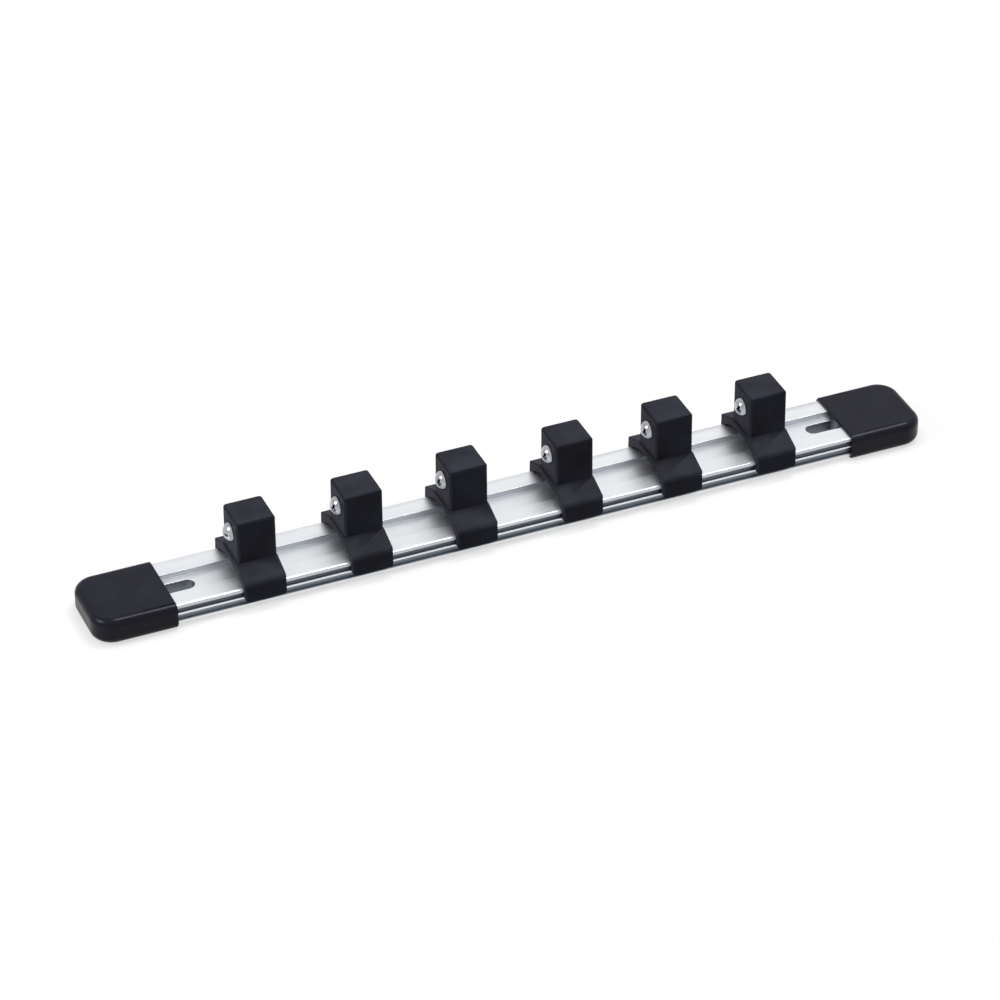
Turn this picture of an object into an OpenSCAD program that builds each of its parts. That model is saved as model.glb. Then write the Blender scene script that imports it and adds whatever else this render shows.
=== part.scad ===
// Socket holder rail: a grooved aluminium rail with six clips that slide along it.
// Each clip is one moulding with a square drive post, and a sprung steel ball in the
// post's left face holds the socket. A dipped vinyl cap closes each end of the rail.
// X runs along the rail and Z is up. The rail rests on its caps at z = 0.

/* [Rail] */
// Length of the aluminium rail, caps left out
rail_l = 275; // [250:1:320]
// Width of the rail over its side lips
rail_w = 23.8; // [21:0.1:28]
// Height of the rail
rail_h = 6.8; // [6:0.1:9]
// Corner radius of the rail's ends in plan, under the caps
rail_corner_r = 5.5; // [4:0.5:9]
// Rounding of the long outer edges
rail_edge_r = 0.4; // [0.2:0.05:0.5]

/* [Top channel] */
// Width of the channel along the top, for the heads of the screws
channel_w = 10; // [8:0.1:12]
// Depth of that channel
channel_d = 1.8; // [1:0.1:2.5]

/* [Side grooves] */
// Depth of both grooves in each side
groove_d = 1.3; // [1.2:0.05:2]
// Thickness of the lip over the upper groove
top_lip_h = 1.1; // [0.8:0.05:1.4]
// Height of the upper groove, which the clips hook into
upper_groove_h = 1.65; // [1.4:0.05:1.8]
// Thickness of the rib between the two grooves
rib_h = 0.7; // [0.5:0.05:0.9]
// Height of the lower groove
lower_groove_h = 2.05; // [1.2:0.05:2.2]
// Rounding of the bottom lip's upper edge
bottom_lip_r = 0.6; // [0.2:0.05:0.7]
// Rounding of the other edges at the grooves' mouths
groove_edge_r = 0.15; // [0.1:0.05:0.2]

/* [Screw slots] */
// Width of the slot near each end
slot_w = 4.8; // [4.2:0.1:5.5]
// Length of the slot, end to end
slot_l = 11.8; // [9:0.1:14]
// Distance from the rail's end to the slot's middle
slot_inset = 28.5; // [27:0.5:32]

/* [End caps] */
// Overall length of a cap
cap_l = 25.9; // [20:0.1:26.5]
// Thickness of the vinyl over and under the rail
cap_wall = 1; // [0.7:0.1:1.5]
// Thickness of the vinyl at the rail's sides
cap_side_wall = 1.5; // [0.8:0.1:1.7]
// Thickness of the vinyl over the rail's end
cap_end_wall = 1.3; // [0.8:0.1:2]
// Rounding of the cap's upper outer edge
cap_top_r = 2.4; // [1:0.1:3]
// Rounding of the cap's lower outer edge
cap_foot_r = 2.7; // [1:0.1:3]

/* [Clips] */
// Even pitch of the six clips along the rail
clip_pitch = 34.2; // [30:0.1:36]
// Side of the square drive post
post_w = 12.6; // [10:0.1:13]
// Height of the post over the clip's base
post_h = 14.3; // [12:0.1:18]
// Rounding of the post's edges
post_edge_r = 1; // [0.4:0.1:1.4]
// Height of the base over the rail
base_h = 5.65; // [4.5:0.05:8]
// Fall of the sloped wing from the post to the leg
wing_fall = 2.9; // [1.5:0.1:3.5]
// Rise of the arch that the base makes over the rail
arch_h = 3.7; // [1:0.1:4]
// Width of that arch, across the rail
arch_w = 22.4; // [16:0.1:23]
// Rounding of the shoulder between the wing and the leg
shoulder_r = 1.2; // [0.4:0.1:1.4]
// Rounding of the base's corners in plan
base_corner_r = 0.7; // [0.2:0.05:0.8]
// Rounding of the legs' lower corners
leg_corner_r = 1; // [0.4:0.1:2]
// Ledge of the base past the post on the ball's side
ledge_ball_side = 0.6; // [0.1:0.1:1.5]
// Ledge of the base past the post on the other side
ledge_far_side = 0.2; // [0.1:0.1:1]
// Thickness of the legs that clasp the rail
leg_t = 1.85; // [1.4:0.05:2.5]
// How far the legs reach below the rail's top
leg_reach = 3.6; // [3:0.1:5]
// How far the hooks reach into the upper groove
hook_in = 0.9; // [0.6:0.05:1]
// Running clearance between a clip and the rail
clip_gap = 0.12; // [0.1:0.01:0.2]

/* [Ball detent] */
// Diameter of the steel ball
ball_d = 6.35; // [5:0.05:7]
// How far the ball stands out of the post's face
ball_out = 2.3; // [1:0.1:2.4]
// Height of the ball's centre over the clip's base
ball_h = 7.9; // [5:0.05:8.5]
// Depth of the blind bore from the post's face
bore_depth = 11.2; // [10.5:0.1:11.5]
// Running clearance round the ball
ball_gap = 0.08; // [0.05:0.01:0.1]
// Width of the raised lip round the bore's mouth
mouth_lip_w = 0.4; // [0.3:0.05:0.6]
// Height of that lip over the post's face
mouth_lip_h = 0.15; // [0.1:0.01:0.2]

/* [Spring] */
// Outer diameter of the coil
spring_od = 4.6; // [4:0.1:5]
// Diameter of the wire
wire_d = 0.5; // [0.4:0.05:0.6]
// Number of turns
turns = 6; // [4:1:7]
// Clearance between the spring and what it bears on
seat_gap = 0.05; // [0.03:0.01:0.1]

/* [Hidden] */

// How far each clip has been slid from its even place
slid = [0.8, 1.3, 1.7, 2.9, 2.6, 0.8];
clip_count = len(slid);

// Heights, from the surface that the caps rest on
rail_z = cap_wall;
rail_top_z = rail_z + rail_h;
base_z = rail_top_z + base_h;
ball_z = base_z + ball_h;

// Grooves, counted down from the rail's top
upper_groove_z = rail_top_z - top_lip_h - upper_groove_h;
lower_groove_z = upper_groove_z - rib_h - lower_groove_h;
lip_edge_r = min(bottom_lip_r, (lower_groove_z - rail_z) / 2);

// Screw slots
slot_x = rail_l / 2 - slot_inset;

// Caps
cap_w = rail_w + 2 * cap_side_wall;
cap_h = rail_h + 2 * cap_wall;
cap_corner_r = rail_corner_r + cap_side_wall;
cap_mouth_x = rail_l / 2 + cap_end_wall - cap_l;

// Clips
tunnel_w = rail_w + 2 * clip_gap;
clip_w = tunnel_w + 2 * leg_t;
base_l = post_w + ledge_ball_side + ledge_far_side;
leg_z = rail_top_z - leg_reach;
wing_slope = atan(wing_fall / ((clip_w - post_w) / 2));
arch_rise = min(arch_h, base_h - 1.5);
arch_r = (arch_w * arch_w / 4 + arch_rise * arch_rise) / (2 * arch_rise);
post_root = (base_h - arch_rise) / 3;
hook_gap = 0.15;
hook_h = upper_groove_h - 2 * hook_gap;

// Middle of the shoulder's arc, which runs into both the wing and the leg
shoulder_y = clip_w / 2 - shoulder_r;
shoulder_z = base_z - wing_fall + shoulder_r * tan(wing_slope) - shoulder_r / cos(wing_slope);

// Ball and spring, along X from the post's middle
ball_r = ball_d / 2;
bore_r = ball_r + ball_gap;
ball_x = -post_w / 2 - ball_out + ball_r;
bore_end_x = -post_w / 2 + bore_depth;
mouth_r = sqrt(bore_r * bore_r - (ball_r - ball_out) * (ball_r - ball_out));
coil_r = (spring_od - wire_d) / 2;
touch_r = ball_r + wire_d / 2 + seat_gap;
coil_start_x = ball_x + sqrt(touch_r * touch_r - coil_r * coil_r) + seat_gap;
coil_end_x = bore_end_x - wire_d / 2 - seat_gap;
curl_rings = 8;
wire_sides = 6;

cut = 1; // how far a cutting solid runs past the face that it opens
fine = 48;

function clip_x(i) = clip_pitch * (i - (clip_count - 1) / 2) + slid[i];

// Centre of the wire at step i of the spring, with a straight tail at each end
coil_steps = turns * curl_rings;
function coil_point(i) =
    let (a = 360 * i / curl_rings)
    [coil_start_x + (coil_end_x - coil_start_x) * i / coil_steps, coil_r * cos(a), coil_r * sin(a)];
function coil_tangent(i) =
    let (a = 360 * i / curl_rings)
    [0, -sin(a), cos(a)];
coil_path = concat(
    [coil_point(0) - wire_d * coil_tangent(0)],
    [for (i = [0:coil_steps]) coil_point(i)],
    [coil_point(coil_steps) + wire_d * coil_tangent(coil_steps)]
);
coil_gap = min([
    for (i = [0:coil_steps])
        for (j = [i + curl_rings / 2:1:coil_steps])
            norm(coil_point(i) - coil_point(j)) - wire_d
]);
echo(coil_gap = coil_gap);

// What a rounding of radius r takes off a square corner at the origin
module round_off(r) {
    if (r > 0)
        translate([-r, -r])
            difference() {
                square(2 * r);
                circle(r, $fn = fine);
            }
}

// A w wide outline from 0 up to h, with its lower and its upper corners round
module rounded(w, h, low_r, high_r) {
    difference() {
        translate([-w / 2, 0])
            square([w, h]);
        for (side = [0, 1])
            mirror([side, 0]) {
                translate([w / 2, h])
                    round_off(high_r);
                translate([w / 2, 0])
                    mirror([0, 1])
                        round_off(low_r);
            }
    }
}

// The right half of such an outline, which turns about its left edge
module rim(reach, h, low_r, high_r) {
    intersection() {
        rounded(2 * reach, h, low_r, high_r);
        square([reach, h]);
    }
}

// Turns an outline drawn in Y and Z into a bar from x0 to x1
module along_x(x0, x1) {
    translate([x0, 0, 0])
        rotate([90, 0, 90])
            linear_extrude(x1 - x0)
                children();
}

// Turns an outline drawn in X and Z into a bar of length w across the rail
module along_y(w) {
    translate([0, w / 2, 0])
        rotate([90, 0, 0])
            linear_extrude(w)
                children();
}

// The rail's solid outline, with neither channel nor grooves
module rail_blank() {
    intersection() {
        along_x(-rail_l / 2, rail_l / 2)
            translate([0, rail_z])
                rounded(rail_w, rail_h, rail_edge_r, rail_edge_r);
        translate([0, 0, rail_z - cut])
            linear_extrude(rail_h + 2 * cut)
                union() {
                    square([rail_l, rail_w - 2 * rail_corner_r], center = true);
                    square([rail_l - 2 * rail_corner_r, rail_w + cut], center = true);
                    for (sx = [-1, 1], sy = [-1, 1])
                        translate([sx * (rail_l / 2 - rail_corner_r), sy * (rail_w / 2 - rail_corner_r)])
                            circle(rail_corner_r, $fn = 2 * fine);
                }
    }
}

// What the channel and the four grooves take out of the rail's section
module rail_section_cuts() {
    translate([-channel_w / 2, rail_top_z - channel_d])
        square([channel_w, channel_d + cut]);
    for (side = [0, 1])
        mirror([side, 0])
            translate([rail_w / 2, 0]) {
                translate([-groove_d, upper_groove_z])
                    square([2 * groove_d, upper_groove_h]);
                translate([-groove_d, lower_groove_z])
                    square([2 * groove_d, lower_groove_h]);
                translate([0, upper_groove_z])
                    round_off(groove_edge_r);
                translate([0, lower_groove_z])
                    round_off(lip_edge_r);
                for (z = [upper_groove_z + upper_groove_h, lower_groove_z + lower_groove_h])
                    translate([0, z])
                        mirror([0, 1])
                            round_off(groove_edge_r);
            }
}

module rail() {
    color([0.86, 0.87, 0.89])
        difference() {
            rail_blank();
            along_x(-rail_l / 2 - cut, rail_l / 2 + cut)
                rail_section_cuts();
            for (side = [-1, 1])
                translate([side * slot_x, 0, rail_z - cut])
                    screw_slot(rail_h + 2 * cut);
        }
}

// A slot of height h with round ends, along X
module screw_slot(h) {
    straight = slot_l - slot_w;
    translate([-straight / 2, -slot_w / 2, 0])
        cube([straight, slot_w, h]);
    for (s = [-1, 1])
        translate([s * straight / 2, 0, 0])
            cylinder(h = h, d = slot_w, $fn = fine);
}

// The cap's outside, for the rail's right end: a rounded bar with two round corners
module cap_blank() {
    corner_x = cap_mouth_x + cap_l - cap_corner_r;
    corner_y = cap_w / 2 - cap_corner_r;
    along_x(cap_mouth_x, corner_x)
        rounded(cap_w, cap_h, cap_foot_r, cap_top_r);
    for (side = [0, 1])
        mirror([0, side, 0])
            translate([corner_x, corner_y, 0])
                rotate_extrude(angle = 90, $fn = 2 * fine)
                    rim(cap_corner_r, cap_h, cap_foot_r, cap_top_r);
    translate([corner_x, 0, 0])
        along_y(2 * corner_y)
            rim(cap_corner_r, cap_h, cap_foot_r, cap_top_r);
}

module end_cap(side) {
    color([0.09, 0.09, 0.11])
        mirror([side < 0 ? 1 : 0, 0, 0])
            difference() {
                cap_blank();
                rail_blank();
            }
}

// The base's section: an arch over the rail with wings that fall from the post to round
// shoulders, legs down both sides of the tunnel that the rail runs through, and hooks in
// the rail's upper grooves
module base_section() {
    wing_end = [
        shoulder_y + shoulder_r * sin(wing_slope),
        shoulder_z + shoulder_r * cos(wing_slope)
    ];
    difference() {
        for (side = [0, 1])
            mirror([side, 0]) {
                polygon([
                    [0, leg_z],
                    [0, base_z],
                    [post_w / 2, base_z],
                    wing_end,
                    [clip_w / 2, shoulder_z],
                    [clip_w / 2, leg_z]
                ]);
                translate([shoulder_y, shoulder_z])
                    circle(shoulder_r, $fn = fine);
            }
        translate([-tunnel_w / 2, leg_z - cut])
            square([tunnel_w, leg_reach + clip_gap + cut]);
        intersection() {
            translate([0, rail_top_z + clip_gap + arch_rise - arch_r])
                circle(arch_r, $fn = 2 * fine);
            translate([-rail_w / 2, rail_top_z])
                square([rail_w, base_h]);
        }
    }
    for (side = [0, 1])
        mirror([side, 0])
            translate([rail_w / 2 - hook_in, upper_groove_z + hook_gap])
                square([hook_in + clip_gap + leg_t / 2, hook_h]);
}

// What rounds the base's four corners in plan and the lower corners of its legs
module base_roundings() {
    for (side = [0, 1], end = [0, 1])
        mirror([end, 0, 0])
            mirror([0, side, 0])
                translate([base_l / 2, clip_w / 2, leg_z - cut])
                    linear_extrude(base_h + leg_reach + 2 * cut)
                        round_off(base_corner_r);
    for (end = [0, 1])
        mirror([end, 0, 0])
            translate([base_l / 2, 0, leg_z])
                along_y(clip_w + 2 * cut)
                    mirror([0, 1])
                        round_off(leg_corner_r);
}

// The base, which clasps the rail
module base() {
    translate([(ledge_far_side - ledge_ball_side) / 2, 0, 0])
        difference() {
            along_x(-base_l / 2, base_l / 2)
                base_section();
            base_roundings();
        }
}

// The post stands in the base and has round edges
module post() {
    intersection() {
        translate([0, -post_w / 2, base_z - post_root])
            linear_extrude(post_h + post_root)
                rounded(post_w, post_w, post_edge_r, post_edge_r);
        post_side_view();
        rotate([0, 0, 90])
            post_side_view();
    }
}

// The post's outline with a round top, run past its faces along Y
module post_side_view() {
    along_y(post_w + 2 * cut)
        translate([0, rail_top_z])
            rounded(post_w, post_h + base_h, 0, post_edge_r);
}

// The blind bore: round the ball it follows the ball, so its mouth keeps the ball in
module ball_bore() {
    translate([ball_x, 0, ball_z]) {
        sphere(bore_r, $fn = 2 * fine);
        rotate([0, 90, 0])
            cylinder(h = bore_end_x - ball_x, r = bore_r, $fn = 2 * fine);
    }
}

// The lip raised round the bore's mouth, with a bevelled edge that starts in the post
module mouth_lip() {
    lip_r = mouth_r + mouth_lip_w;
    translate([-post_w / 2, 0, ball_z])
        rotate([0, -90, 0])
            rotate_extrude($fn = 2 * fine)
                polygon([
                    [0, -cut],
                    [lip_r + cut, -cut],
                    [lip_r - mouth_lip_h, mouth_lip_h],
                    [0, mouth_lip_h]
                ]);
}

module clip(i) {
    color([0.13, 0.13, 0.15])
        translate([clip_x(i), 0, 0])
            difference() {
                union() {
                    base();
                    post();
                    mouth_lip();
                }
                ball_bore();
            }
}

module ball(i) {
    color([0.85, 0.86, 0.88])
        translate([clip_x(i) + ball_x, 0, ball_z])
            sphere(ball_r, $fn = 2 * fine);
}

// The spring's wire, swept along its path as one closed tube
module spring(i) {
    last = len(coil_path) - 1;
    rings = [
        for (k = [0:last])
            let (
                step = min(max(k - 1, 0), coil_steps),
                ahead = coil_path[min(k + 1, last)] - coil_path[max(k - 1, 0)],
                run = ahead / norm(ahead),
                outward = coil_point(step) - [coil_point(step)[0], 0, 0],
                flat = outward - (outward * run) * run,
                u = flat / norm(flat),
                v = cross(run, u)
            )
            [for (s = [0:wire_sides - 1])
                let (a = 360 * s / wire_sides)
                coil_path[k] + wire_d / 2 * (cos(a) * u + sin(a) * v)]
    ];
    points = [for (ring = rings) for (p = ring) p];
    skin = [
        for (k = [0:last - 1])
            for (s = [0:wire_sides - 1])
                let (
                    a = k * wire_sides + s,
                    b = k * wire_sides + (s + 1) % wire_sides
                )
                each [[a, a + wire_sides, b], [b, a + wire_sides, b + wire_sides]]
    ];
    near_end = [for (s = [1:wire_sides - 2]) [0, s, s + 1]];
    first = last * wire_sides;
    far_end = [for (s = [1:wire_sides - 2]) [first, first + s + 1, first + s]];
    color([0.7, 0.71, 0.73])
        translate([clip_x(i), 0, ball_z])
            polyhedron(points, concat(skin, near_end, far_end));
}

rail();
end_cap(-1);  // end_cap_left
end_cap(1);  // end_cap_right
clip(0);  // clip_1
clip(1);  // clip_2
clip(2);  // clip_3
clip(3);  // clip_4
clip(4);  // clip_5
clip(5);  // clip_6
ball(0);  // ball_1
ball(1);  // ball_2
ball(2);  // ball_3
ball(3);  // ball_4
ball(4);  // ball_5
ball(5);  // ball_6
spring(0);  // spring_1
spring(1);  // spring_2
spring(2);  // spring_3
spring(3);  // spring_4
spring(4);  // spring_5
spring(5);  // spring_6
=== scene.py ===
from math import atan, copysign, cos, hypot, pi, radians, sin, sqrt, tan, tau

import bmesh
import bpy
from mathutils import Matrix, Vector


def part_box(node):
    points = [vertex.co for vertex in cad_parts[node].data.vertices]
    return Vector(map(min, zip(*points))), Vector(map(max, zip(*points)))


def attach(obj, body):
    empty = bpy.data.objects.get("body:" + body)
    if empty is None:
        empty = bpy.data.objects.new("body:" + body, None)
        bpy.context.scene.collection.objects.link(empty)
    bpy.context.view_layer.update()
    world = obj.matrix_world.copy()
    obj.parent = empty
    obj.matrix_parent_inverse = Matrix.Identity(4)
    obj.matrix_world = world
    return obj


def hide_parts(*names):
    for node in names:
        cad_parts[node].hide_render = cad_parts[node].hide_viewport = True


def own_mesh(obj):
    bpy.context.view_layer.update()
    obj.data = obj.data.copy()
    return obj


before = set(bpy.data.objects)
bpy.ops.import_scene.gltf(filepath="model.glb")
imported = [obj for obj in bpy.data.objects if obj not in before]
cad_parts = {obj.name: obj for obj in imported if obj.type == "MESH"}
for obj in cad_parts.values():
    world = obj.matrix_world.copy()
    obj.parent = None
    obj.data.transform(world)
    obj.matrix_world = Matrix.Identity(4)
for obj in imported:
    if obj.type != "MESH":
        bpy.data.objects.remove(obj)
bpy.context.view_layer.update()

mm = 0.001
clipNumbers = range(1, 7)
sameCorner = 0.001 * mm  # corners of the CAD's loose triangles that are this close are one
sameCut = 1e-7  # metres, for cuts and spun rings
roundSteps = (0, 22.5, 45, 67.5)  # degrees along the quarter circles that are cut by hand


def toLinear(hexColour):  # an sRGB hex value as linear RGBA
    channels = [int(hexColour[i:i + 2], 16) / 255 for i in (1, 3, 5)]
    return [c / 12.92 if c <= 0.04045 else ((c + 0.055) / 1.055) ** 2.4 for c in channels] + [1.0]


def addNode(tree, kind, settings=None, links=None):  # settings name an attribute or a socket
    node = tree.nodes.new(kind)
    for key, value in (settings or {}).items():
        if key == "stops":  # two places on a colour ramp, each with its hex colour
            for element, (place, colour) in zip(node.color_ramp.elements, value):
                element.position = place
                element.color = toLinear(colour)
        elif isinstance(key, str) and hasattr(node, key):
            setattr(node, key, value)
        else:
            node.inputs[key].default_value = value
    for key, socket in (links or {}).items():
        tree.links.new(socket, node.inputs[key])
    return node


def newMaterial(name):
    material = bpy.data.materials.new(name)
    material.use_nodes = True
    material.node_tree.nodes.clear()
    return material, material.node_tree


# the camera stands where the photo's stood, fitted to the rail's edges and the posts
cameraLook = {
    "place": (-0.44366, -1.04933, 0.8035),
    "towardsCamera": (-0.31771, -0.75579, 0.57258),
    "roll": -0.33,  # degrees
    "lens": 161.37, "sensor": 36, "nearest": 0.01,
}


def makeCamera():
    data = bpy.data.cameras.new("photoCamera")
    data.lens = cameraLook["lens"]
    data.sensor_width = cameraLook["sensor"]
    data.clip_start = cameraLook["nearest"]
    camera = bpy.data.objects.new("photoCamera", data)
    bpy.context.scene.collection.objects.link(camera)
    back = Vector(cameraLook["towardsCamera"]).normalized()
    level = Vector((0, 0, 1)).cross(back).normalized()
    upright = back.cross(level)
    turn = radians(cameraLook["roll"])
    right = cos(turn) * level + sin(turn) * upright
    up = cos(turn) * upright - sin(turn) * level
    rotation = Matrix((right, up, back)).transposed().to_4x4()
    camera.matrix_world = Matrix.Translation(cameraLook["place"]) @ rotation
    bpy.context.scene.camera = camera


makeCamera()
print("camera set")

# white sweep, even sky, one softbox above and one at the side of the balls
studio = {
    "floorSize": 6.0, "floorColour": "#7C7C7C",
    "floorGlow": 0.83,  # what camera and glossy rays see on top of the lit floor
    "paintedShadowReach": 0.004,  # metres from the object in which the glow goes down: a painted contact shadow
    "paintedShadowShare": 0.3,  # by this share where it touches, the depth of the painted shadow
    "skyColour": "#FFFFFF",
    "skyLight": 0.22, "skyGlow": 0.6,  # what lights the object, and what is seen on top of it
    "keyPlace": (0.38, 0.05, 1.2), "keySize": (0.24, 0.6), "keyPower": 8.5,
    "sidePlace": (-1.05, 0.0, 0.85), "sideSize": (0.5, 0.5), "sidePower": 7.0,
}


def seenDirectly(tree):  # 1 for camera, glossy and transmission rays
    path = addNode(tree, "ShaderNodeLightPath")
    first = addNode(tree, "ShaderNodeMath", {"operation": "MAXIMUM"},
                    {0: path.outputs["Is Camera Ray"], 1: path.outputs["Is Glossy Ray"]})
    return addNode(tree, "ShaderNodeMath", {"operation": "MAXIMUM"},
                   {0: first.outputs[0], 1: path.outputs["Is Transmission Ray"]}).outputs[0]


def paleFloor():  # matt paper sweep
    material, tree = newMaterial("matte_paper_floor")
    matt = addNode(tree, "ShaderNodeBsdfDiffuse", {"Color": toLinear(studio["floorColour"])})
    # ambient occlusion lowers the glow next to the object: a painted contact shadow
    contactShadeAO = addNode(tree, "ShaderNodeAmbientOcclusion", {"Distance": studio["paintedShadowReach"]})
    paintedShadowDepth = studio["floorGlow"] * studio["paintedShadowShare"]
    lit = addNode(tree, "ShaderNodeMath",
                  {"operation": "MULTIPLY_ADD", 1: paintedShadowDepth, 2: studio["floorGlow"] - paintedShadowDepth},
                  {0: contactShadeAO.outputs["AO"]})
    glow = addNode(tree, "ShaderNodeMath", {"operation": "MULTIPLY"},
                   {0: seenDirectly(tree), 1: lit.outputs[0]})
    shine = addNode(tree, "ShaderNodeEmission", {"Color": (1, 1, 1, 1)}, {"Strength": glow.outputs[0]})
    both = addNode(tree, "ShaderNodeAddShader", links={0: matt.outputs[0], 1: shine.outputs[0]})
    addNode(tree, "ShaderNodeOutputMaterial", links={"Surface": both.outputs[0]})
    return material


def makeFloor():
    bm = bmesh.new()
    bmesh.ops.create_grid(bm, x_segments=1, y_segments=1, size=studio["floorSize"] / 2)
    mesh = bpy.data.meshes.new("floor")
    bm.to_mesh(mesh)
    bm.free()
    floor = bpy.data.objects.new("floor", mesh)
    bpy.context.scene.collection.objects.link(floor)
    mesh.materials.append(paleFloor())


def makeWorld():
    world = bpy.context.scene.world or bpy.data.worlds.new("studio")
    bpy.context.scene.world = world
    world.use_nodes = True
    tree = world.node_tree
    tree.nodes.clear()
    strength = addNode(tree, "ShaderNodeMath",
                       {"operation": "MULTIPLY_ADD", 1: studio["skyGlow"], 2: studio["skyLight"]},
                       {0: seenDirectly(tree)})
    sky = addNode(tree, "ShaderNodeBackground", {"Color": toLinear(studio["skyColour"])},
                  {"Strength": strength.outputs[0]})
    addNode(tree, "ShaderNodeOutputWorld", links={"Surface": sky.outputs[0]})


def softLamp(name, place, size, power):  # a softbox that faces the object
    data = bpy.data.lights.new(name, "AREA")
    data.shape = "RECTANGLE"
    data.size, data.size_y = size
    data.energy = power
    lamp = bpy.data.objects.new(name, data)
    bpy.context.scene.collection.objects.link(lamp)
    lamp.location = place
    lamp.rotation_euler = Vector(place).to_track_quat("Z", "Y").to_euler()


makeFloor()
makeWorld()
softLamp("keySoftbox", studio["keyPlace"], studio["keySize"], studio["keyPower"])
softLamp("sideSoftbox", studio["sidePlace"], studio["sideSize"], studio["sidePower"])
bpy.context.scene.view_settings.view_transform = "Standard"
print("floor, world and lamps set")


def colourAndRoughness(tree, finish, dark, light, shade, wear):
    # the colour runs from dark to light with shade, the roughness between its two values with wear
    shadeLow, shadeHigh = finish["shadeSpread"]
    wearLow, wearHigh = finish["wearSpread"]
    colour = addNode(tree, "ShaderNodeValToRGB", {"stops": [(shadeLow, dark), (shadeHigh, light)]},
                     {"Fac": shade})
    rough = addNode(tree, "ShaderNodeMapRange",
                    {"From Min": wearLow, "From Max": wearHigh,
                     "To Min": finish["roughnessLow"], "To Max": finish["roughnessHigh"]},
                    {"Value": wear})
    return {"Base Color": colour.outputs["Color"], "Roughness": rough.outputs[0]}


aluminium = {
    "dark": "#E2E4E8", "light": "#F0F2F5", "shadeSpread": (0.45, 0.85),
    "roughnessLow": 0.4, "roughnessHigh": 0.48, "wearSpread": (0.35, 0.65),
    "scratchLength": 14.0, "scratchWidth": 0.12,  # mm; real lines are about 0.05 mm, drawn coarser to show
    "cloudSize": 22.0, "cloudShare": 0.35,  # mm; slow patches over the lines
    "bump": 0.2, "bumpHeight": 0.02,
}


def brushedAluminium():
    # mill-finish extrusion, linished lengthwise: fine lines along the bar spread highlights across it
    material, tree = newMaterial("brushed_mill_aluminium")
    place = addNode(tree, "ShaderNodeTexCoord").outputs["Object"]
    across = 1 / (aluminium["scratchWidth"] * mm)
    along = 1 / (aluminium["scratchLength"] * mm)
    stretch = addNode(tree, "ShaderNodeMapping", {"Scale": (along, across, across)}, {"Vector": place})
    lines = addNode(tree, "ShaderNodeTexNoise", {"Scale": 1.0, "Detail": 4.0, "Roughness": 0.65},
                    {"Vector": stretch.outputs[0]})
    clouds = addNode(tree, "ShaderNodeTexNoise", {"Scale": 1 / (aluminium["cloudSize"] * mm), "Detail": 2.0},
                     {"Vector": place})
    mixed = addNode(tree, "ShaderNodeMath", {"operation": "MULTIPLY_ADD", 1: aluminium["cloudShare"]},
                    {0: clouds.outputs["Fac"], 2: lines.outputs["Fac"]})
    looks = colourAndRoughness(tree, aluminium, aluminium["dark"], aluminium["light"],
                               mixed.outputs[0], lines.outputs["Fac"])
    bump = addNode(tree, "ShaderNodeBump",
                   {"Strength": aluminium["bump"], "Distance": aluminium["bumpHeight"] * mm},
                   {"Height": lines.outputs["Fac"]})
    surface = addNode(tree, "ShaderNodeBsdfPrincipled", {"Metallic": 1.0},
                      {**looks, "Normal": bump.outputs[0]})
    addNode(tree, "ShaderNodeOutputMaterial", links={"Surface": surface.outputs[0]})
    return material


# the greys below are painted shade: in the grooves and the slot, and on the channel wall and the lips' sides
extrudedSkinAndShade = {
    "grooveDark": "#848B93", "grooveLight": "#9DA4AC",
    "slotDark": "#777E86", "slotLight": "#8F969E",
    "wallDark": "#BDC2C8", "wallLight": "#CED2D8",
    "shadeSpread": (0.35, 0.65), "wearSpread": (0.35, 0.65),
    "roughnessLow": 0.4, "roughnessHigh": 0.55,
    "lineLength": 20.0, "lineWidth": 0.25,  # mm; die lines
}


def shadedExtrudedAluminium(name, dark, light):  # where no brush reaches: as-extruded skin with die lines, its darker grey painted shade
    material, tree = newMaterial(name)
    place = addNode(tree, "ShaderNodeTexCoord").outputs["Object"]
    across = 1 / (extrudedSkinAndShade["lineWidth"] * mm)
    along = 1 / (extrudedSkinAndShade["lineLength"] * mm)
    stretch = addNode(tree, "ShaderNodeMapping", {"Scale": (along, across, across)}, {"Vector": place})
    lines = addNode(tree, "ShaderNodeTexNoise", {"Scale": 1.0, "Detail": 3.0},
                    {"Vector": stretch.outputs[0]})
    looks = colourAndRoughness(tree, extrudedSkinAndShade, dark, light, lines.outputs["Fac"], lines.outputs["Fac"])
    surface = addNode(tree, "ShaderNodeBsdfPrincipled", {"Metallic": 1.0}, looks)
    addNode(tree, "ShaderNodeOutputMaterial", links={"Surface": surface.outputs[0]})
    return material


vinyl = {
    "dark": "#0F101C", "light": "#161826", "shadeSpread": (0.3, 0.7),
    "roughnessLow": 0.26, "roughnessHigh": 0.33, "wearSpread": (0.3, 0.7),
    "waveLength": 7.0, "waveBump": 0.25, "waveHeight": 0.3,  # mm; slow waves that a dip coat leaves
    "peelSize": 0.5, "peelBump": 0.05, "peelHeight": 0.05,
}


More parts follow.
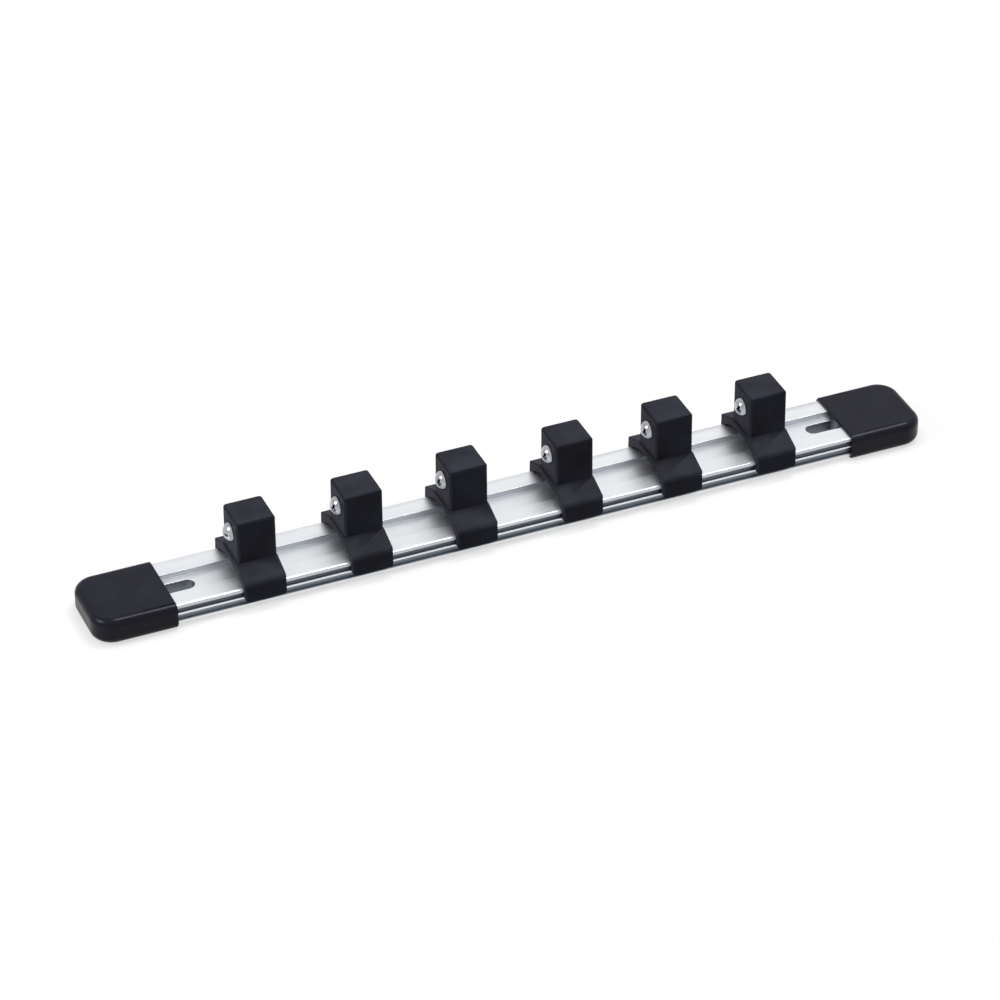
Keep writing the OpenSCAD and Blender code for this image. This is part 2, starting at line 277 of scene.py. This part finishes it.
def dippedVinyl():  # plastisol cap, hot dipped: soft gloss with slow waves and a faint orange peel
    material, tree = newMaterial("dipped_vinyl")
    place = addNode(tree, "ShaderNodeTexCoord").outputs["Object"]
    waves = addNode(tree, "ShaderNodeTexNoise", {"Scale": 1 / (vinyl["waveLength"] * mm), "Detail": 1.0},
                    {"Vector": place})
    peel = addNode(tree, "ShaderNodeTexNoise", {"Scale": 1 / (vinyl["peelSize"] * mm), "Detail": 2.0},
                   {"Vector": place})
    looks = colourAndRoughness(tree, vinyl, vinyl["dark"], vinyl["light"],
                               waves.outputs["Fac"], peel.outputs["Fac"])
    slow = addNode(tree, "ShaderNodeBump",
                   {"Strength": vinyl["waveBump"], "Distance": vinyl["waveHeight"] * mm},
                   {"Height": waves.outputs["Fac"]})
    fine = addNode(tree, "ShaderNodeBump",
                   {"Strength": vinyl["peelBump"], "Distance": vinyl["peelHeight"] * mm},
                   {"Height": peel.outputs["Fac"], "Normal": slow.outputs[0]})
    surface = addNode(tree, "ShaderNodeBsdfPrincipled", {"IOR": 1.53, "Specular IOR Level": 0.15},
                      {**looks, "Normal": fine.outputs[0]})
    addNode(tree, "ShaderNodeOutputMaterial", links={"Surface": surface.outputs[0]})
    return material


plastic = {
    "dark": "#2C2C33", "light": "#383A44", "shadeSpread": (0.3, 0.7),
    "roughnessLow": 0.45, "roughnessHigh": 0.6, "wearSpread": (0.3, 0.7),
    "grainSize": 0.28, "grainBump": 0.18, "grainHeight": 0.03,  # mm; spark-eroded mould texture
    "flowLength": 9.0,
}


def mouldedPlastic():  # glass-filled nylon from a spark-eroded mould: satin black with a fine even grain
    material, tree = newMaterial("moulded_nylon")
    place = addNode(tree, "ShaderNodeTexCoord").outputs["Object"]
    grain = addNode(tree, "ShaderNodeTexNoise",
                    {"Scale": 1 / (plastic["grainSize"] * mm), "Detail": 3.0, "Roughness": 0.6},
                    {"Vector": place})
    flow = addNode(tree, "ShaderNodeTexNoise", {"Scale": 1 / (plastic["flowLength"] * mm), "Detail": 2.0},
                   {"Vector": place})
    looks = colourAndRoughness(tree, plastic, plastic["dark"], plastic["light"],
                               flow.outputs["Fac"], grain.outputs["Fac"])
    bump = addNode(tree, "ShaderNodeBump",
                   {"Strength": plastic["grainBump"], "Distance": plastic["grainHeight"] * mm},
                   {"Height": grain.outputs["Fac"]})
    surface = addNode(tree, "ShaderNodeBsdfPrincipled", {"IOR": 1.5, "Specular IOR Level": 0.04},
                      {**looks, "Normal": bump.outputs[0]})
    addNode(tree, "ShaderNodeOutputMaterial", links={"Surface": surface.outputs[0]})
    return material


ballSteel = {
    "dark": "#A2A3A7", "light": "#C0C1C5", "shadeSpread": (0.35, 0.65),
    "roughnessLow": 0.03, "roughnessHigh": 0.07, "wearSpread": (0.35, 0.65),
    "patternSize": 1.2,  # mm; haze
}
wireSteel = {
    "dark": "#6E7074", "light": "#A3A5A8", "shadeSpread": (0.35, 0.65),
    "roughnessLow": 0.22, "roughnessHigh": 0.38, "wearSpread": (0.35, 0.65),
    "patternSize": 0.08,  # mm; streaks
}


def plainSteel(name, finish, detail):  # one noise gives both colour and roughness
    material, tree = newMaterial(name)
    place = addNode(tree, "ShaderNodeTexCoord").outputs["Object"]
    pattern = addNode(tree, "ShaderNodeTexNoise",
                      {"Scale": 1 / (finish["patternSize"] * mm), "Detail": detail}, {"Vector": place})
    looks = colourAndRoughness(tree, finish, finish["dark"], finish["light"],
                               pattern.outputs["Fac"], pattern.outputs["Fac"])
    surface = addNode(tree, "ShaderNodeBsdfPrincipled", {"Metallic": 1.0}, looks)
    addNode(tree, "ShaderNodeOutputMaterial", links={"Surface": surface.outputs[0]})
    return material


railMetal = brushedAluminium()
# the groove, slot and wall-and-lip metals are darker than the land by painted shade
groovePaintedShade, slotPaintedShade, wallAndLipPaintedShade = (
    shadedExtrudedAluminium(name, extrudedSkinAndShade[place + "Dark"], extrudedSkinAndShade[place + "Light"])
    for name, place in (("groove_aluminium_painted_shade", "groove"), ("slot_aluminium_painted_shade", "slot"),
                        ("wall_and_lip_aluminium_painted_shade", "wall")))
capVinyl, clipPlastic = dippedVinyl(), mouldedPlastic()
# lapped bearing steel: a near mirror with a slight haze from handling
ballMetal = plainSteel("polished_bearing_steel", ballSteel, 3.0)
# music wire: drawn through a die, so grey with fine streaks
wireMetal = plainSteel("drawn_spring_wire", wireSteel, 2.0)
for number in clipNumbers:
    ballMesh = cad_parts[f"ball_{number}"].data
    ballMesh.materials.clear()
    ballMesh.materials.append(ballMetal)
print("materials made")

flatAngle = radians(1)  # faces that turn by less are one face
sharpAngle = radians(35)  # edges that turn by more stay sharp


def linkPiece(bm, name, materials, body, node):
    mesh = bpy.data.meshes.new(name)
    bm.to_mesh(mesh)
    bm.free()
    for face in mesh.polygons:
        face.use_smooth = True
    mesh.set_sharp_from_angle(angle=sharpAngle)
    for material in materials:
        mesh.materials.append(material)
    piece = bpy.data.objects.new(name, mesh)
    bpy.context.scene.collection.objects.link(piece)
    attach(piece, body)
    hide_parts(node)
    return piece


def mergedCopy(node):  # the CAD solid as one skin
    bm = bmesh.new()
    bm.from_mesh(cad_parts[node].data)
    bmesh.ops.remove_doubles(bm, verts=bm.verts, dist=sameCorner)
    return bm


def joinFlatFaces(bm):
    bmesh.ops.dissolve_limit(bm, angle_limit=flatAngle, use_dissolve_boundaries=False,
                             verts=bm.verts, edges=bm.edges)


def cutAcross(bm, parts, place, normal):
    bmesh.ops.bisect_plane(bm, geom=parts, dist=sameCut, plane_co=place, plane_no=normal)


def everything(bm):
    return bm.verts[:] + bm.edges[:] + bm.faces[:]


def roundingDepths(radius):  # distances from a face at which its quarter circle is cut
    return [radius * (1 - sin(radians(turn))) for turn in roundSteps]


def roundingDrop(radius, depth):  # how far the quarter circle falls at a distance from the face
    return radius - sqrt(radius * radius - (radius - max(0, depth)) ** 2)


def evenShading(piece):  # large flat faces keep their own normal, the roundings between them take the turn
    shading = piece.modifiers.new("evenShading", "WEIGHTED_NORMAL")
    shading.keep_sharp = True
    shading.weight = 100  # the most that a face's area can count


# rail: distances along Y are from the middle line, heights from the table
bar = {
    "edgeWidth": 0.12 * mm, "edgeSegments": 2,
    "underside": 1.1 * mm,  # faces lower than this are the underside
    "grooveInner": 10 * mm, "grooveOuter": 11.75 * mm, "grooveTop": 6.72 * mm,
    "lipInner": 11.2 * mm, "topEdge": 7.79 * mm,  # the lip over the grooves, up to the land
    "wallPlace": 5 * mm, "wallMargin": 0.05 * mm, "wallFoot": 6.1 * mm,
    "slotHalfWidth": 2.45 * mm, "slotTop": 5.95 * mm,
}


def railFinishAndShade(middle):  # 0 brushed land; 1 groove, 2 slot, 3 channel wall or lip, these three darker by painted shade
    side, height = abs(middle.y), middle.z
    if bar["grooveInner"] < side < bar["grooveOuter"] and bar["underside"] < height < bar["grooveTop"]:
        return 1
    if side < bar["slotHalfWidth"] and bar["underside"] < height < bar["slotTop"]:
        return 2
    onWall = abs(side - bar["wallPlace"]) < bar["wallMargin"] and bar["wallFoot"] < height < bar["topEdge"]
    onLip = side > bar["lipInner"] and bar["grooveTop"] < height < bar["topEdge"]
    return 3 if onWall or onLip else 0


def makeRail():
    bm = mergedCopy("rail")
    joinFlatFaces(bm)
    for face in bm.faces:
        face.material_index = railFinishAndShade(face.calc_center_median())
    metals = [railMetal, groovePaintedShade, slotPaintedShade, wallAndLipPaintedShade]
    piece = linkPiece(bm, "rail_bar", metals, "rail", "rail")
    soften = piece.modifiers.new("softEdges", "BEVEL")
    soften.width = bar["edgeWidth"]
    soften.segments = bar["edgeSegments"]
    soften.limit_method = "ANGLE"
    soften.angle_limit = sharpAngle
    soften.harden_normals = True


makeRail()
print("rail made")

# end caps: one dipped skin each, soft at the mouth
cap = {
    "mouthRound": 0.5 * mm,  # radius of the mouth's outer edge
    "railHalf": 11.9 * mm, "railBottom": 1.0 * mm, "railTop": 7.8 * mm,
    "inside": 0.3 * mm,  # skin this close to the rail is the cap's inside and stays
    "sideways": 0.5,  # normals with less X than this belong to the skin, not to the mouth's face
}


def roundMouth(bm, side):  # the outer skin draws in towards the mouth in a quarter circle
    radius, inside = cap["mouthRound"], cap["inside"]
    inward = 1 if side == "left" else -1
    mouthX = inward * max(inward * vert.co.x for vert in bm.verts)
    for depth in roundingDepths(radius):
        cutAcross(bm, everything(bm), (mouthX - inward * depth, 0, 0), (1, 0, 0))
    bm.normal_update()
    moves = []
    for vert in bm.verts:
        depth = inward * (mouthX - vert.co.x)
        outside = (abs(vert.co.y) > cap["railHalf"] + inside or vert.co.z > cap["railTop"] + inside
                   or vert.co.z < cap["railBottom"] - inside)
        if depth < radius - sameCut and outside:
            normals = [face.normal for face in vert.link_faces if abs(face.normal.x) < cap["sideways"]]
            normal = sum(normals, Vector())
            normal.x = 0
            moves.append((vert, normal.normalized() * roundingDrop(radius, depth)))
    for vert, move in moves:
        vert.co -= move


def makeCap(side):
    bm = mergedCopy(f"end_cap_{side}")
    roundMouth(bm, side)
    joinFlatFaces(bm)
    piece = linkPiece(bm, f"vinyl_cap_{side}", [capVinyl], "rail", f"end_cap_{side}")
    evenShading(piece)


makeCap("left")
makeCap("right")
print("end caps made")

# clips: one moulding each, post and hooked legs in one
clip = {
    "postHalf": 6.3 * mm, "cornerRadius": 1.0 * mm,
    "baseHalf": 13.87 * mm, "baseTop": 13.45 * mm, "wingFall": 2.9 * mm,
    "cadShoulder": 1.2 * mm, "shoulder": 2.0 * mm,  # radius where a wing turns down into its leg
    "endRound": 0.42 * mm,  # radius along the base's two end faces
    "ballToMiddle": 5.425 * mm,  # along X from the ball's middle to the post's
    "archTop": 9 * mm,  # the base's skin is higher than this
    "lookingUp": 0.02,  # and its normals point up by more than this
    "margin": 0.01 * mm,
}


def ballCorners(bm, middleX):  # the post's top corners are round like a ball, as a cutter leaves the mould
    inner = clip["postHalf"] - clip["cornerRadius"]
    centreZ = max(vert.co.z for vert in bm.verts) - clip["cornerRadius"]
    for side in (-1, 1):
        cutAcross(bm, everything(bm), (middleX + side * inner, 0, 0), (1, 0, 0))
        cutAcross(bm, everything(bm), (0, side * inner, 0), (0, 1, 0))
    for vert in bm.verts:
        aside, forward = vert.co.x - middleX, vert.co.y
        if abs(aside) > inner and abs(forward) > inner and vert.co.z > centreZ:
            centre = Vector((middleX + copysign(inner, aside), copysign(inner, forward), centreZ))
            vert.co = centre + (vert.co - centre).normalized() * clip["cornerRadius"]


def shoulderCentre(radius):  # of the arc that touches the wing and the leg's outer side
    slope = atan(clip["wingFall"] / (clip["baseHalf"] - clip["postHalf"]))
    height = clip["baseTop"] - clip["wingFall"] + radius * (tan(slope) - 1 / cos(slope))
    return clip["baseHalf"] - radius, height


def roundShoulders(bm):  # every point of the CAD's arc goes to the same angle on a wider one
    oldY, oldZ = shoulderCentre(clip["cadShoulder"])
    newY, newZ = shoulderCentre(clip["shoulder"])
    grow = clip["shoulder"] / clip["cadShoulder"]
    for vert in bm.verts:
        outward, upward = abs(vert.co.y) - oldY, vert.co.z - oldZ
        onArc = abs(hypot(outward, upward) - clip["cadShoulder"]) < 2 * clip["margin"]
        if outward > 0 and upward > -clip["margin"] and onArc:
            vert.co.y = copysign(newY + outward * grow, vert.co.y)
            vert.co.z = newZ + upward * grow


def baseParts(bm):  # the faces under the post's root, with their edges and corners
    highest = clip["baseTop"] + clip["margin"]
    faces = [face for face in bm.faces if max(vert.co.z for vert in face.verts) < highest]
    edges = {edge for face in faces for edge in face.edges}
    verts = {vert for face in faces for vert in face.verts}
    return list(verts) + list(edges) + faces


def onBaseSkin(face):  # on the base's top, wings or shoulders
    height = face.calc_center_median().z
    return face.normal.z > clip["lookingUp"] and clip["archTop"] < height < clip["baseTop"] + clip["margin"]


def roundEnds(bm):  # the base's top falls away in a quarter circle towards each end face
    radius = clip["endRound"]
    lowX, highX = min(vert.co.x for vert in bm.verts), max(vert.co.x for vert in bm.verts)
    for depth in roundingDepths(radius):
        for place in (lowX + depth, highX - depth):
            cutAcross(bm, baseParts(bm), (place, 0, 0), (1, 0, 0))
    bm.normal_update()
    skin = {vert for face in bm.faces if onBaseSkin(face) for vert in face.verts}
    arcY, _ = shoulderCentre(clip["shoulder"])
    for vert in skin:
        depth = min(vert.co.x - lowX, highX - vert.co.x)
        if depth < radius:
            outward = max(0, (abs(vert.co.y) - arcY) / clip["shoulder"])
            fade = sqrt(max(0, 1 - outward * outward))  # gone where the leg's side starts
            vert.co.z -= roundingDrop(radius, depth) * fade


def makeClip(number):
    low, high = (Vector(c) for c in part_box(f"ball_{number}"))
    bm = mergedCopy(f"clip_{number}")
    ballCorners(bm, (low.x + high.x) / 2 + clip["ballToMiddle"])
    joinFlatFaces(bm)
    roundShoulders(bm)
    roundEnds(bm)
    piece = linkPiece(bm, f"post_clip_{number}", [clipPlastic], f"clip_{number}",
                      f"clip_{number}")
    evenShading(piece)


for number in clipNumbers:
    makeClip(number)
print("clips made")

# springs: one coil each, from near the ball to the far end, built at one length
spring = {
    "wire": 0.5 * mm, "coilRadius": 2.05 * mm,
    "start": 2.856 * mm, "end": 10.025 * mm,  # along X from the ball's middle
    "endTurns": 1, "endPitch": 0.56 * mm, "openTurns": 4,
    "stepsPerTurn": 28, "wireSides": 10,
    "ballTravel": 2.2 * mm,
}


def makeSpring(number):  # closed turn, open turns, closed turn, spun from one circle of wire
    low, high = (Vector(c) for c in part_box(f"ball_{number}"))
    middle = (low + high) / 2
    bm = bmesh.new()
    bmesh.ops.create_circle(bm, cap_ends=False, segments=spring["wireSides"], radius=spring["wire"] / 2)
    bmesh.ops.rotate(bm, verts=bm.verts, cent=(0, 0, 0), matrix=Matrix.Rotation(pi / 2, 3, "X"))
    startPlace = middle + Vector((spring["start"], 0, spring["coilRadius"]))
    bmesh.ops.translate(bm, verts=bm.verts, vec=startPlace)
    closedTurn = (spring["endTurns"], spring["endPitch"])
    openWay = spring["end"] - spring["start"] - 2 * spring["endTurns"] * spring["endPitch"]
    ring = bm.edges[:]
    for turns, pitch in (closedTurn, (spring["openTurns"], openWay / spring["openTurns"]), closedTurn):
        spun = bmesh.ops.spin(bm, geom=ring, cent=middle, axis=(1, 0, 0),
                              dvec=(pitch / spring["stepsPerTurn"], 0, 0), angle=tau * turns,
                              steps=turns * spring["stepsPerTurn"], use_merge=False, use_duplicate=False)
        ring = [part for part in spun["geom_last"] if isinstance(part, bmesh.types.BMEdge)]
    bmesh.ops.remove_doubles(bm, verts=bm.verts, dist=sameCut)
    bmesh.ops.holes_fill(bm, edges=[edge for edge in bm.edges if edge.is_boundary], sides=0)
    bmesh.ops.recalc_face_normals(bm, faces=bm.faces)
    piece = linkPiece(bm, f"coil_spring_{number}", [wireMetal], f"clip_{number}",
                      f"spring_{number}")
    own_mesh(piece)


for number in clipNumbers:
    makeSpring(number)
print("springs made")
